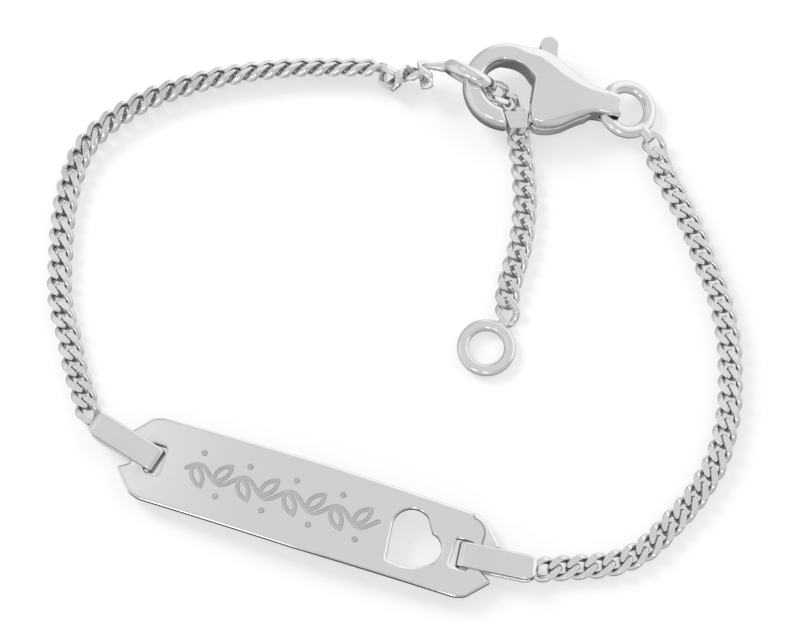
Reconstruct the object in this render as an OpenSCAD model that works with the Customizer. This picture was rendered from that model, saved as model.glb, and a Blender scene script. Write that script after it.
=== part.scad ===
// Curb-chain name bracelet lying flat: an arched plate with a heart cut-out, two folded bails,
// curb chain, a lobster clasp hooked through a sizing ring, and a short extension chain.
// Millimetres, +Z up, table at z = 0, length of the plate along X.

/* [Name plate] */
// Length of the plate between the points of its ends
plate_len = 26.1; // [20:0.1:36]
// Width of the plate at its middle
plate_w = 6.0; // [4:0.1:9]
// Thickness of the sheet
plate_t = 0.6; // [0.4:0.05:1.2]
// Radius that the plate is arched to, along its length
plate_arch = 120; // [60:5:400]
// Height of the underside at the middle of the arch
plate_lift = 1.2; // [0.6:0.01:1.6]
// Middle of the plate on the table
plate_x = -1.05; // [-6:0.05:6]
// Middle of the plate on the table, front to back
plate_y = -16.9; // [-19:0.05:-12]
// Radius of the larger lobe of the heart
heart_r = 1.3; // [0.8:0.02:1.6]

/* [Bails] */
// Length of the folded strap
bail_len = 5.8; // [4:0.1:8]
// Width of the strap
bail_w = 1.7; // [1.2:0.05:2.4]
// Thickness of the strap
bail_band = 0.38; // [0.25:0.05:0.6]
// Height of the folded loop
bail_h = 1.7; // [1.5:0.05:2.2]

/* [Curb chain] */
// Width of a link over its flanks, before filing
link_w = 1.72; // [1.4:0.02:2]
// Wire of a link
link_wire = 0.43; // [0.36:0.01:0.46]
// Half length of a link along the middle of its wire
link_half = 0.89; // [0.86:0.01:0.95]
// Squareness of a link, 1 is an ellipse
link_round = 0.68; // [0.6:0.02:1]
// Twist of a link from its middle to its end, degrees
link_twist = 60; // [50:1:65]
// Half height left by the filing of the two flat sides
link_flat = 0.45; // [0.4:0.01:0.6]
// Spacing of the links, wanted
link_pitch = 1.19; // [1.15:0.01:1.24]

/* [Rings] */
// Outside diameter of the end ring and the sizing ring
ring_od = 4.0; // [3:0.1:6]
// Wire of the end ring
ring_wire = 0.8; // [0.5:0.05:1]
// Outside diameter of the clasp ring
clasp_ring_od = 4.2; // [3.5:0.05:6]
// Wire of the clasp ring
clasp_ring_wire = 0.9; // [0.6:0.05:1]
// Wire of the sizing ring, across its radius
sizing_wire = 0.6; // [0.5:0.05:0.8]
// Width of the sizing ring's oval wire
sizing_w = 0.9; // [0.8:0.05:1.4]

/* [Lobster clasp] */
// Outside radius of the hook
hook_r = 3.1; // [2.6:0.05:3.6]
// Width of the hook's bar
hook_bar = 1.35; // [0.9:0.05:1.6]
// Thickness of the hook
hook_t = 1.8; // [1.4:0.05:2.2]
// Thickness of the gate's nose
nose_t = 1.5; // [1.2:0.05:1.8]
// Thickness of the clasp's body
body_t = 2.3; // [2:0.05:3]
// Width of the slot that holds the lever
slot_t = 1.4; // [1.3:0.05:1.5]
// Thickness of the lever in the slot
lever_t = 1.2; // [1.1:0.05:1.3]
// Diameter of the hidden pivot pin
pin_d = 0.7; // [0.5:0.05:0.9]
// Radial clearance of the lever on the pin
pin_play = 0.05; // [0.02:0.01:0.1]

/* [View] */
// Sub-part to draw, or all of them

/* [Hidden] */
silver = [0.80, 0.80, 0.81];
link_b = (link_w - link_wire) / 2;
stations = 12;
sides = 6;
half_len = plate_len / 2;
body_h = body_t / 2;

// Middle line of the left chain: x, y, height, roll about the line in degrees
left_route = [
    [-17.3, -15.0, 0.5, 0], [-18.2, -13.7, 0.47, 0], [-19.1, -12.5, 0.47, 0],
    [-20.6, -10.0, 0.47, 0], [-21.5, -8.7, 0.47, 0], [-22.2, -7.15, 0.47, 0],
    [-22.85, -5.1, 0.47, 0], [-23.4, -3.3, 0.47, 0], [-23.85, -1.2, 0.48, 0],
    [-24.05, 0.9, 0.5, -5], [-23.95, 2.65, 0.57, -12], [-23.35, 4.3, 0.64, -18],
    [-22.3, 5.9, 0.68, -22], [-20.8, 7.6, 0.73, -26], [-19.05, 9.0, 0.77, -30],
    [-17.2, 10.25, 0.79, -34], [-15.3, 11.3, 0.81, -37], [-13.4, 12.2, 0.83, -40],
    [-11.4, 13.0, 0.84, -42], [-8.7, 13.85, 0.85, -44], [-6.0, 14.6, 0.9, -50],
    [-4.4, 14.75, 1.0, -58], [-3.05, 14.8, 1.12, -60]];

// Middle line of the right chain, from the clasp ring to the bail
right_route = [
    [14.0, 14.85, 0.65, 2], [14.65, 13.75, 0.6, 8], [15.5, 12.7, 0.6, 12],
    [16.7, 11.4, 0.64, 15], [18.2, 9.65, 0.64, 15], [19.5, 7.8, 0.64, 15],
    [20.9, 5.95, 0.64, 15], [22.0, 4.05, 0.6, 12], [22.7, 2.5, 0.56, 8], [23.35, 0.45, 0.5, 4],
    [23.8, -1.3, 0.47, 0], [24.05, -3.35, 0.47, 0], [24.05, -5.5, 0.47, 0],
    [23.7, -7.2, 0.47, 0], [23.1, -9.0, 0.47, 0], [22.3, -10.7, 0.47, 0],
    [21.4, -12.4, 0.47, 0], [20.6, -13.4, 0.47, 0], [19.7, -14.15, 0.47, 0],
    [18.7, -14.7, 0.47, 0], [17.65, -15.15, 0.47, 0], [16.7, -15.5, 0.48, 0],
    [15.6, -15.95, 0.5, 0]];

// Middle line of the extension chain, from the sizing ring to the end ring
tail_route = [
    [2.6, 15.28, 0.76, -12], [3.58, 14.62, 0.64, -8], [4.32, 13.7, 0.53, -3], [4.82, 12.6, 0.47, 0],
    [5.4, 11.3, 0.47, 0], [5.9, 10.1, 0.47, 0], [6.3, 9.0, 0.47, 0], [6.65, 7.9, 0.47, 0],
    [6.9, 6.6, 0.47, 0], [7.1, 5.5, 0.47, 0], [7.2, 4.2, 0.47, 0], [7.2, 3.0, 0.47, 0],
    [7.32, 1.5, 0.47, 0], [7.67, 0.25, 0.45, 0]];

// Link turned across the chain and soldered to the neck of the sizing ring
turned_link = [-2.75, 14.75, 1.72, -62, 0, 90];

function xyz(p) = [p[0], p[1], p[2]];
function unit(v) = v / norm(v);
function spow(x) = (x < 0 ? -1 : 1) * pow(abs(x), link_round);

// Middle of the wire of a link at the angle t, and its surface at the angle w round the wire
function mid(t) =
    let (x = spow(cos(t)), y = spow(sin(t)), f = link_twist * x)
    [link_half * x, link_b * y * cos(f), -link_b * y * sin(f)];
function rim(t, w) =
    let (f = link_twist * spow(cos(t)),
         q = unit(mid(t + 1) - mid(t - 1)),
         up = [0, sin(f), cos(f)],
         n = unit(up - q * (up * q)),
         out = cross(q, n),
         p = mid(t) + link_wire / 2 * (cos(w) * out + sin(w) * n))
    [p[0], p[1], min(link_flat, max(-link_flat, p[2]))];
link_points = [for (k = [0:stations - 1], j = [0:sides - 1])
    rim(360 * (k + 0.5) / stations, 360 * (j + 0.5) / sides)];
function corner_of(k, j) = (k % stations) * sides + j % sides;
link_faces = [for (k = [0:stations - 1], j = [0:sides - 1], half = [0, 1])
    half == 0
        ? [corner_of(k, j), corner_of(k + 1, j + 1), corner_of(k + 1, j)]
        : [corner_of(k, j), corner_of(k, j + 1), corner_of(k + 1, j + 1)]];

// Running lengths of a route, and the point at the length s on a smooth curve through it
function runs(r, i = 0, s = 0) =
    i == len(r) - 1 ? [s] : concat([s], runs(r, i + 1, s + norm(xyz(r[i + 1] - r[i]))));
function slope(r, c, i) =
    let (a = max(i - 1, 0), b = min(i + 1, len(r) - 1)) (r[b] - r[a]) / (c[b] - c[a]);
function curve(r, c, i, d, h) =
    r[i - 1] * (2 * h * h * h - 3 * h * h + 1) + r[i] * (3 * h * h - 2 * h * h * h)
    + d * (slope(r, c, i - 1) * (h * h * h - 2 * h * h + h) + slope(r, c, i) * (h * h * h - h * h));
function at(r, c, s, i = 1) =
    s < 0 ? r[0] + slope(r, c, 0) * s
    : s > c[len(c) - 1] ? r[len(r) - 1] + slope(r, c, len(r) - 1) * (s - c[len(c) - 1])
    : c[i] >= s ? curve(r, c, i, c[i] - c[i - 1], (s - c[i - 1]) / (c[i] - c[i - 1]))
    : at(r, c, s, i + 1);
function count_of(r) = let (c = runs(r)) round(c[len(c) - 1] / link_pitch);

module link() {
    polyhedron(points = link_points, faces = link_faces, convexity = 6);
}

// One link of a route, counted from the soldered link at its start
module link_on(r, i) {
    c = runs(r);
    step = c[len(c) - 1] / count_of(r);
    p = at(r, c, i * step);
    x = unit(xyz(at(r, c, (i + 0.5) * step) - at(r, c, (i - 0.5) * step)));
    y = unit(cross([0, 0, 1], x));
    z = cross(x, y);
    multmatrix([[x[0], y[0], z[0], p[0]], [x[1], y[1], z[1], p[1]], [x[2], y[2], z[2], p[2]]])
        rotate([p[3], 0, 0])
            link();
}

// A link set by its middle, heading, climb and roll
module link_set(s) {
    translate([s[0], s[1], s[2]])
        rotate([0, -s[4], s[3]])
            rotate([s[5], 0, 0])
                link();
}

// Solder joint: a short round bar between two points
module neck(a, b, d) {
    v = b - a;
    translate(a)
        rotate([0, acos(v[2] / norm(v)), atan2(v[1], v[0])])
            cylinder(d = d, h = norm(v), $fn = 24);
}

// Name plate

module plate_outline() {
    polygon([
        [-11.0, plate_w / 2 - 0.12], [0, plate_w / 2], [11.0, plate_w / 2 - 0.12],
        [11.7, plate_w / 2 - 0.35], [half_len, 1.2], [half_len - 0.75, 0.75],
        [half_len - 0.85, 0], [half_len - 0.75, -0.75], [half_len, -1.2],
        [11.7, -plate_w / 2 + 0.35], [11.0, -plate_w / 2 + 0.12], [0, -plate_w / 2],
        [-11.0, -plate_w / 2 + 0.12], [-11.7, -plate_w / 2 + 0.35], [-half_len, -1.2],
        [-half_len + 0.75, -0.75], [-half_len + 0.85, 0], [-half_len + 0.75, 0.75],
        [-half_len, 1.2], [-11.7, plate_w / 2 - 0.35]]);
}

module heart_outline() {
    translate([7.03, 0.62]) {
        hull() {
            circle(r = heart_r, $fn = 48);
            translate([-0.92, -2.4])
                circle(r = 0.12, $fn = 16);
        }
        hull() {
            translate([1.18, -1.02])
                circle(r = 0.87 * heart_r, $fn = 48);
            translate([0, -2.22])
                circle(r = 0.36, $fn = 24);
            translate([-0.92, -2.4])
                circle(r = 0.12, $fn = 16);
        }
    }
}

module slot_outline(x, w) {
    translate([x, 0])
        square([w, 2.1], center = true);
}

module name_plate() {
    color(silver)
        translate([plate_x, plate_y, 0])
            intersection() {
                linear_extrude(height = 4)
                    difference() {
                        plate_outline();
                        heart_outline();
                        slot_outline(-10.6, 1.3);
                        slot_outline(10.6, 1.3);
                    }
                translate([0, 0, plate_lift - plate_arch])
                    rotate([90, 0, 0])
                        difference() {
                            cylinder(r = plate_arch + plate_t, h = 12, center = true, $fn = 720);
                            cylinder(r = plate_arch, h = 14, center = true, $fn = 720);
                        }
            }
}

// Bails

module rounded_block(l, h, r) {
    translate([r, 0])
        square([l - 2 * r, h]);
    translate([0, r])
        square([l, h - 2 * r]);
    for (x = [r, l - r], y = [r, h - r])
        translate([x, y])
            circle(r = r, $fn = 32);
}

module bail_strap() {
    translate([0, bail_w / 2, 0])
        rotate([90, 0, 0])
            linear_extrude(height = bail_w)
                difference() {
                    rounded_block(bail_len, bail_h, 0.55);
                    translate([bail_band, bail_band])
                        rounded_block(bail_len - 2 * bail_band, bail_h - 2 * bail_band, 0.2);
                }
}

module bail_left() {
    color(silver) {
        translate([-11.31, -17.05, 0])
            rotate([0, 0, 165.4])
                bail_strap();
        link_on(left_route, 0);
    }
}

module bail_right() {
    color(silver) {
        translate([9.15, -16.97, 0])
            rotate([0, 0, 5.5])
                bail_strap();
        link_on(right_route, count_of(right_route));
    }
}

// Chains

module chain_left() {
    color(silver) {
        for (i = [1:count_of(left_route)])
            link_on(left_route, i);
    }
}

module chain_right() {
    color(silver)
        for (i = [1:count_of(right_route) - 1])
            link_on(right_route, i);
}

module extension_chain() {
    color(silver)
        for (i = [1:count_of(tail_route) - 1])
            link_on(tail_route, i);
}

// Rings

module round_ring(od, wire) {
    rotate_extrude($fn = 64)
        translate([(od - wire) / 2, 0])
            circle(d = wire, $fn = 24);
}

module oval_ring() {
    side = (sizing_w - sizing_wire) / 2;
    rotate_extrude($fn = 64)
        translate([(ring_od - sizing_wire) / 2, 0]) {
            translate([0, side])
                circle(d = sizing_wire, $fn = 24);
            translate([0, -side])
                circle(d = sizing_wire, $fn = 24);
            square([sizing_wire, 2 * side], center = true);
        }
}

module sizing_ring() {
    color(silver) {
        translate([0.38, 15.35, 2.2])
            rotate([14, 0, -10])
                rotate([90, 0, 0])
                    oval_ring();
        neck([-2.8, 15.2, 2.3], [-1.6, 15.6, 2.15], 0.5);
        neck([1.5, 15.05, 0.85], [1.95, 15.3, 0.78], 0.55);
        link_set(turned_link);
        link_on(tail_route, 0);
    }
}

module end_ring() {
    color(silver) {
        translate([7.04, -2.64, 0.41])
            round_ring(ring_od, ring_wire);
        neck([7.6, -0.5, 0.45], [7.35, -1.2, 0.4], 0.6);
        link_on(tail_route, count_of(tail_route));
    }
}

module clasp_ring() {
    color(silver) {
        translate([11.45, 16.78, 1.0])
            rotate([0, 15, 0])
                round_ring(clasp_ring_od, clasp_ring_wire);
        neck([12.7, 15.9, 0.75], [13.7, 15.2, 0.7], 0.7);
        link_on(right_route, 0);
    }
}

// Lobster clasp, in a plane of its own: u along the clasp, v across it, w out of it

module in_clasp() {
    translate([3.05, 15.44, 2.0])
        rotate([0, 4.2, 7.2])
            children();
}

pivot = [4.1, -0.6];
joint_r = 4.35;

module hook_section(c) {
    translate([hook_r - hook_bar / 2, 0])
        polygon([
            [-hook_bar / 2, -hook_t / 2 + c], [-hook_bar / 2 + c, -hook_t / 2],
            [hook_bar / 2 - c, -hook_t / 2], [hook_bar / 2, -hook_t / 2 + c],
            [hook_bar / 2, hook_t / 2 - c], [hook_bar / 2 - c, hook_t / 2],
            [-hook_bar / 2 + c, hook_t / 2], [-hook_bar / 2, hook_t / 2 - c]]);
}

// Sections of the body along u: outer edge and face edge on the far side, face edge and
// outer edge on the near side, height of the top face and of the underside
body_sections = [
    [0.2, 2.9, 2.55, 1.5, 1.3, 0.85, -0.85], [1.05, 3.04, 2.48, 1.2, 1.0, 1.0, -0.85],
    [1.72, 3.05, 2.34, 0.9, 0.7, 1.1, -0.85], [1.78, 3.05, 2.3, -1.5, -1.6, 1.1, -0.85],
    [2.1, 3.0, 2.1, -2.3, -2.4, 1.12, -0.85], [2.6, 2.86, 1.7, -2.4, -2.52, body_h, -0.95],
    [3.3, 2.48, 1.22, -2.13, -2.48, body_h, -body_h],
    [4.1, 2.02, 0.96, -1.7, -2.2, body_h, -body_h],
    [4.85, 1.62, 0.8, -1.3, -1.65, body_h, -body_h], [5.6, 1.27, 0.7, -1.0, -1.15, 1.1, -1.1],
    [6.4, 1.0, 0.64, -0.72, -0.82, 1.05, -1.05], [7.4, 0.83, 0.68, -0.72, -0.8, 1.0, -1.0],
    [8.05, 0.7, 0.5, -0.6, -0.72, 0.95, -0.95]];
rim_half = 0.8;
function low_rim(s) = max(-rim_half, s[6] + 0.1);
function section_loop(s) = [
    [s[0], s[1], low_rim(s)], [s[0], s[1], rim_half], [s[0], s[2], s[5]], [s[0], s[3], s[5]],
    [s[0], s[4], rim_half], [s[0], s[4], low_rim(s)], [s[0], s[3], s[6]], [s[0], s[2], s[6]]];

// Skin over a row of sections that have eight corners each
module loft(sections) {
    last = len(sections) - 1;
    polyhedron(
        points = [for (s = sections) each section_loop(s)],
        faces = concat(
            [for (i = [0:last - 1], j = [0:7], half = [0, 1])
                let (a = 8 * i + j, b = 8 * i + (j + 1) % 8)
                half == 0 ? [a, b + 8, b] : [a, a + 8, b + 8]],
            [[for (j = [0:7]) j]],
            [[for (j = [0:7]) 8 * last + 7 - j]]),
        convexity = 6);
}

module clasp_body() {
    color(silver)
        in_clasp()
            difference() {
                union() {
                    rotate([0, 0, 20])
                        rotate_extrude(angle = 180, $fn = 64)
                            hook_section(0.4);
                    difference() {
                        rotate([0, 0, 190])
                            rotate_extrude(angle = 100, $fn = 64)
                                hook_section(0.4);
                        translate([pivot[0], pivot[1], -2])
                            cylinder(r = joint_r + 0.04, h = 4, $fn = 96);
                    }
                    difference() {
                        loft(body_sections);
                        translate([0, 0, -2])
                            cylinder(r = hook_r - hook_bar, h = 4, $fn = 64);
                    }
                }
                translate([0, 0, -slot_t / 2])
                    linear_extrude(height = slot_t)
                        polygon([
                            [1.5, -3.4], [1.5, -0.7], [2.9, -0.1], [1.45, 3.6], [5.0, 3.6],
                            [5.0, -1.2], [4.4, -1.6], [3.0, -3.4]]);
                translate([pivot[0], pivot[1], -1.09])
                    cylinder(d = pin_d + 0.04, h = 2.18, $fn = 32);
                translate([7.12, 0, -0.1])
                    rotate([0, 0, 18])
                        rotate([90, 0, 0])
                            cylinder(d = 1.36, h = 4, center = true, $fn = 32);
            }
}

module clasp_pin() {
    color(silver)
        in_clasp()
            translate([pivot[0], pivot[1], -1.05])
                cylinder(d = pin_d, h = 2.1, $fn = 32);
}

module lever_arms() {
    translate([pivot[0], pivot[1]])
        circle(r = 0.72, $fn = 48);
    polygon([
        [4.1, -1.32], [3.2, -1.95], [2.0, -2.4], [1.3, -2.55], [1.3, -1.95], [1.81, -1.83],
        [2.6, -1.45], [3.5, -0.35], [2.9, 0.75], [2.0, 2.75], [1.75, 3.4], [3.0, 3.4],
        [3.1, 2.8], [4.0, 0.9], [4.82, -0.6], [4.3, -1.2]]);
}

module clasp_lever() {
    color(silver)
        in_clasp()
            difference() {
                union() {
                    translate([0, 0, -lever_t / 2])
                        linear_extrude(height = lever_t)
                            lever_arms();
                    translate([0, 0, -nose_t / 2])
                        linear_extrude(height = nose_t)
                            intersection() {
                                translate(pivot)
                                    circle(r = joint_r - 0.04, $fn = 96);
                                polygon([
                                    [-0.6, -2.2], [1.7, -1.76], [1.8, -2.95], [0.1, -3.4]]);
                            }
                    translate([0, 0, -0.6])
                        linear_extrude(height = 1.2) {
                            translate([1.75, 3.3])
                                square([1.25, 0.35]);
                            translate([2.375, 3.55])
                                circle(r = 0.625, $fn = 32);
                        }
                }
                translate([pivot[0], pivot[1], -2])
                    cylinder(d = pin_d + 2 * pin_play, h = 4, $fn = 32);
            }
}

name_plate();
bail_left();
bail_right();
chain_left();
chain_right();
sizing_ring();
extension_chain();
end_ring();
clasp_ring();
clasp_body();
clasp_pin();
clasp_lever();
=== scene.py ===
"""Look of a silver name bracelet lying flat: arched plate, folded bails, curb chain, lobster clasp.

Sizes inside the classes are in millimetres. A piece becomes metres when it is finished.
"""

import logging
import math
from dataclasses import astuple, dataclass, field
from enum import Enum
from typing import Any, Callable, Iterable, Sequence, Union

import bmesh
import bpy
from bmesh.types import BMEdge, BMFace, BMVert
from mathutils import Matrix, Vector


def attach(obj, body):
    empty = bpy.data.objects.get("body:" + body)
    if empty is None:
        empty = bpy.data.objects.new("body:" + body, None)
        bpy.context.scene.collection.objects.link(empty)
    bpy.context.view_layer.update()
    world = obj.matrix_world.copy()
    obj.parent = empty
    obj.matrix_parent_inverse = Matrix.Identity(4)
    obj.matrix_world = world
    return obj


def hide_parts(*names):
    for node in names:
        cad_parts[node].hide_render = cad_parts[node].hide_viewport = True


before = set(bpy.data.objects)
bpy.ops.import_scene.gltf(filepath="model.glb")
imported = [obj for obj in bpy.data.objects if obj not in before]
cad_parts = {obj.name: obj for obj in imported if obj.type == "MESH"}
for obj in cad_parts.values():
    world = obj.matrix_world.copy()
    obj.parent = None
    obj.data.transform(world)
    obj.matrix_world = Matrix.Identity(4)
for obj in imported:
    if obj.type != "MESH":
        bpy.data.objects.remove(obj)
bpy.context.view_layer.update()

log = logging.getLogger("bracelet")
MM = 0.001
MAIN_BODY = "bracelet"
LEVER_BODY = "lever"

# Angle in degrees past which two polished faces meet in an edge that shows
EDGE_ANGLE = 28.0
# Distances within which two corners are one, in a copied mesh and at a cut
MERGED = 0.002
CUT_MERGED = 0.0001
# Share of the broad patches in a surface's wear, and how much finer its other patches are
BROAD_SHARE = 0.7
FINER = 9.0

Number = Union[float, "Value"]
Amount = Union[float, Vector]
Pair = tuple[float, float]
Triple = tuple[float, float, float]


# Shader graphs


class Value:
    """A number that varies over a surface, with the usual operators."""

    def __init__(self, graph: "Graph", socket: bpy.types.NodeSocket) -> None:
        """Wraps an output socket of a graph."""
        self.graph = graph
        self.socket = socket

    def maths(self, operation: str, first: Number, second: Number) -> "Value":
        """Adds one Math node with two operands."""
        made = self.graph.node("ShaderNodeMath", {"operation": operation}, {0: first, 1: second})
        return Value(self.graph, made.outputs[0])

    def __add__(self, other: Number) -> "Value":
        """Sum."""
        return self.maths("ADD", self, other)

    def __radd__(self, other: Number) -> "Value":
        """Sum, reflected."""
        return self.maths("ADD", other, self)

    def __sub__(self, other: Number) -> "Value":
        """Difference."""
        return self.maths("SUBTRACT", self, other)

    def __rsub__(self, other: Number) -> "Value":
        """Difference, reflected."""
        return self.maths("SUBTRACT", other, self)

    def __mul__(self, other: Number) -> "Value":
        """Product."""
        return self.maths("MULTIPLY", self, other)

    def __rmul__(self, other: Number) -> "Value":
        """Product, reflected."""
        return self.maths("MULTIPLY", other, self)

    def __pow__(self, other: Number) -> "Value":
        """Power."""
        return self.maths("POWER", self, other)

    def __rpow__(self, other: Number) -> "Value":
        """Power, reflected."""
        return self.maths("POWER", other, self)


class Graph:
    """The node tree of a material or a world."""

    def __init__(self, tree: bpy.types.NodeTree) -> None:
        """Empties the tree and keeps it."""
        self.tree = tree
        tree.nodes.clear()

    def node(
        self, kind: str, settings: dict[str, Any] | None = None, inputs: dict | None = None
    ) -> bpy.types.Node:
        """Adds a node.

        Args:
            kind: The node's type.
            settings: Attributes, set first. "stops" holds a ramp's places and greys.
            inputs: Values, links or Value objects for its sockets, by name or number.

        Returns:
            The new node.
        """
        made = self.tree.nodes.new(kind)
        for name, value in (settings or {}).items():
            if name == "stops":
                for place, _ in value[1:-1]:
                    made.color_ramp.elements.new(place)
                for element, (_, grey) in zip(made.color_ramp.elements, value):
                    element.color = (grey, grey, grey, 1.0)
            else:
                setattr(made, name, value)
        for key, value in (inputs or {}).items():
            if isinstance(value, Value):
                self.tree.links.new(value.socket, made.inputs[key])
            elif isinstance(value, bpy.types.NodeSocket):
                self.tree.links.new(value, made.inputs[key])
            else:
                made.inputs[key].default_value = value
        return made

    def noise(self, where: bpy.types.NodeSocket, per_mm: float, detail: float) -> Value:
        """Noise from 0 to 1, with a number of features in each millimetre."""
        made = self.node(
            "ShaderNodeTexNoise", {},
            {"Vector": where, "Scale": per_mm / MM, "Detail": detail, "Roughness": 0.55})
        return Value(self, made.outputs["Fac"])


@dataclass(frozen=True)
class SilverFinish:
    """Polished or cut silver."""

    name: str  # Name of the material
    bright: Triple  # Colour where it is clean
    dull: Triple  # Colour where it is a little tarnished
    roughness: float  # Roughness where it is well polished
    handling: float  # How much rougher the worn places are
    patch: float  # Worn patches in each millimetre
    scratch: float  # Depth of the hairlines
    lines: float  # Hairlines in each millimetre

    def material(self) -> bpy.types.Material:
        """Builds the material, unless it was built before.

        Returns:
            The material.
        """
        known = bpy.data.materials.get(self.name)
        if known:
            return known
        made = bpy.data.materials.new(self.name)
        made.use_nodes = True
        graph = Graph(made.node_tree)
        where = graph.node("ShaderNodeTexCoord").outputs["Object"]
        patches = graph.noise(where, self.patch, 3.0)
        fine = graph.noise(where, self.patch * FINER, 2.0)
        stretched = graph.node(
            "ShaderNodeMapping", {},
            {"Vector": where, "Rotation": (0.0, 0.0, 0.4), "Scale": (0.08, 1.0, 1.0)})
        hairs = graph.noise(stretched.outputs["Vector"], self.lines, 4.0)
        wear = patches * BROAD_SHARE + fine * (1.0 - BROAD_SHARE)
        colour = graph.node(
            "ShaderNodeMix", {"data_type": "RGBA"},
            {0: wear ** 2.0, 6: (*self.bright, 1.0), 7: (*self.dull, 1.0)})
        bump = graph.node(
            "ShaderNodeBump", {},
            {"Strength": 0.5, "Distance": self.scratch * MM, "Height": hairs})
        shader = graph.node(
            "ShaderNodeBsdfPrincipled", {},
            {"Base Color": colour.outputs[2], "Metallic": 1.0,
             "Roughness": self.roughness + wear * self.handling,
             "Normal": bump.outputs["Normal"]})
        graph.node("ShaderNodeOutputMaterial", {}, {"Surface": shader.outputs[0]})
        return made


class Silver(Enum):
    """The finishes of the bracelet. Two darker silvers paint shade."""

    PLATE = SilverFinish("plate_silver", (0.86, 0.86, 0.865), (0.80, 0.80, 0.805),
                         0.10, 0.06, 0.25, 0.0012, 9.0)
    STRAP = SilverFinish("strap_silver", (0.86, 0.86, 0.865), (0.77, 0.77, 0.775),
                         0.11, 0.08, 0.5, 0.0015, 9.0)
    LINK = SilverFinish("link_silver", (0.87, 0.87, 0.875), (0.72, 0.72, 0.73),
                        0.12, 0.10, 0.9, 0.0015, 7.0)
    CAST = SilverFinish("cast_silver", (0.86, 0.86, 0.865), (0.77, 0.77, 0.775),
                        0.13, 0.08, 0.6, 0.0015, 6.0)
    # Painted shade: darker silver on the links' unfiled insides, on the hook's inner wall and in
    # the clasp's parting groove
    RECESS = SilverFinish("recess_silver", (0.56, 0.56, 0.565), (0.42, 0.42, 0.425),
                          0.22, 0.10, 0.9, 0.0015, 7.0)
    # Painted shade: much darker silver on the plate's walls, the steep strip at its right end and
    # the sides of the straps' upper layer
    SHADED = SilverFinish("shaded_silver", (0.36, 0.36, 0.365), (0.28, 0.28, 0.285),
                          0.2, 0.10, 0.9, 0.0015, 7.0)
    FILED = SilverFinish("filed_silver", (0.90, 0.90, 0.905), (0.82, 0.82, 0.825),
                         0.20, 0.10, 1.2, 0.002, 9.0)
    ENGRAVED = SilverFinish("engraved_silver", (0.66, 0.66, 0.67), (0.54, 0.54, 0.55),
                            0.42, 0.15, 1.5, 0.01, 12.0)


# Shapes


def placed(name: str, data: bpy.types.ID) -> bpy.types.Object:
    """Adds an object to the scene."""
    made = bpy.data.objects.new(name, data)
    bpy.context.scene.collection.objects.link(made)
    return made


def aimed(held: bpy.types.Object, direction: Vector) -> None:
    """Turns a camera or a lamp to look along a direction."""
    held.rotation_mode = "QUATERNION"
    held.rotation_quaternion = direction.to_track_quat("-Z", "Y")


def turn(x: float = 0.0, y: float = 0.0, z: float = 0.0) -> Matrix:
    """Rotation by three angles in degrees, first about X, then Y, then Z."""
    return (Matrix.Rotation(math.radians(z), 4, "Z") @ Matrix.Rotation(math.radians(y), 4, "Y")
            @ Matrix.Rotation(math.radians(x), 4, "X"))


def move(x: float, y: float, z: float) -> Matrix:
    """Translation."""
    return Matrix.Translation((x, y, z))


def eased(a: Amount, b: Amount, start: Amount, end: Amount, h: float) -> Amount:
    """Amount at the part h of a smooth way from a to b, with its slopes at either end."""
    return (a * (2 * h ** 3 - 3 * h ** 2 + 1) + b * (3 * h ** 2 - 2 * h ** 3)
            + start * (h ** 3 - 2 * h ** 2 + h) + end * (h ** 3 - h ** 2))


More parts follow.
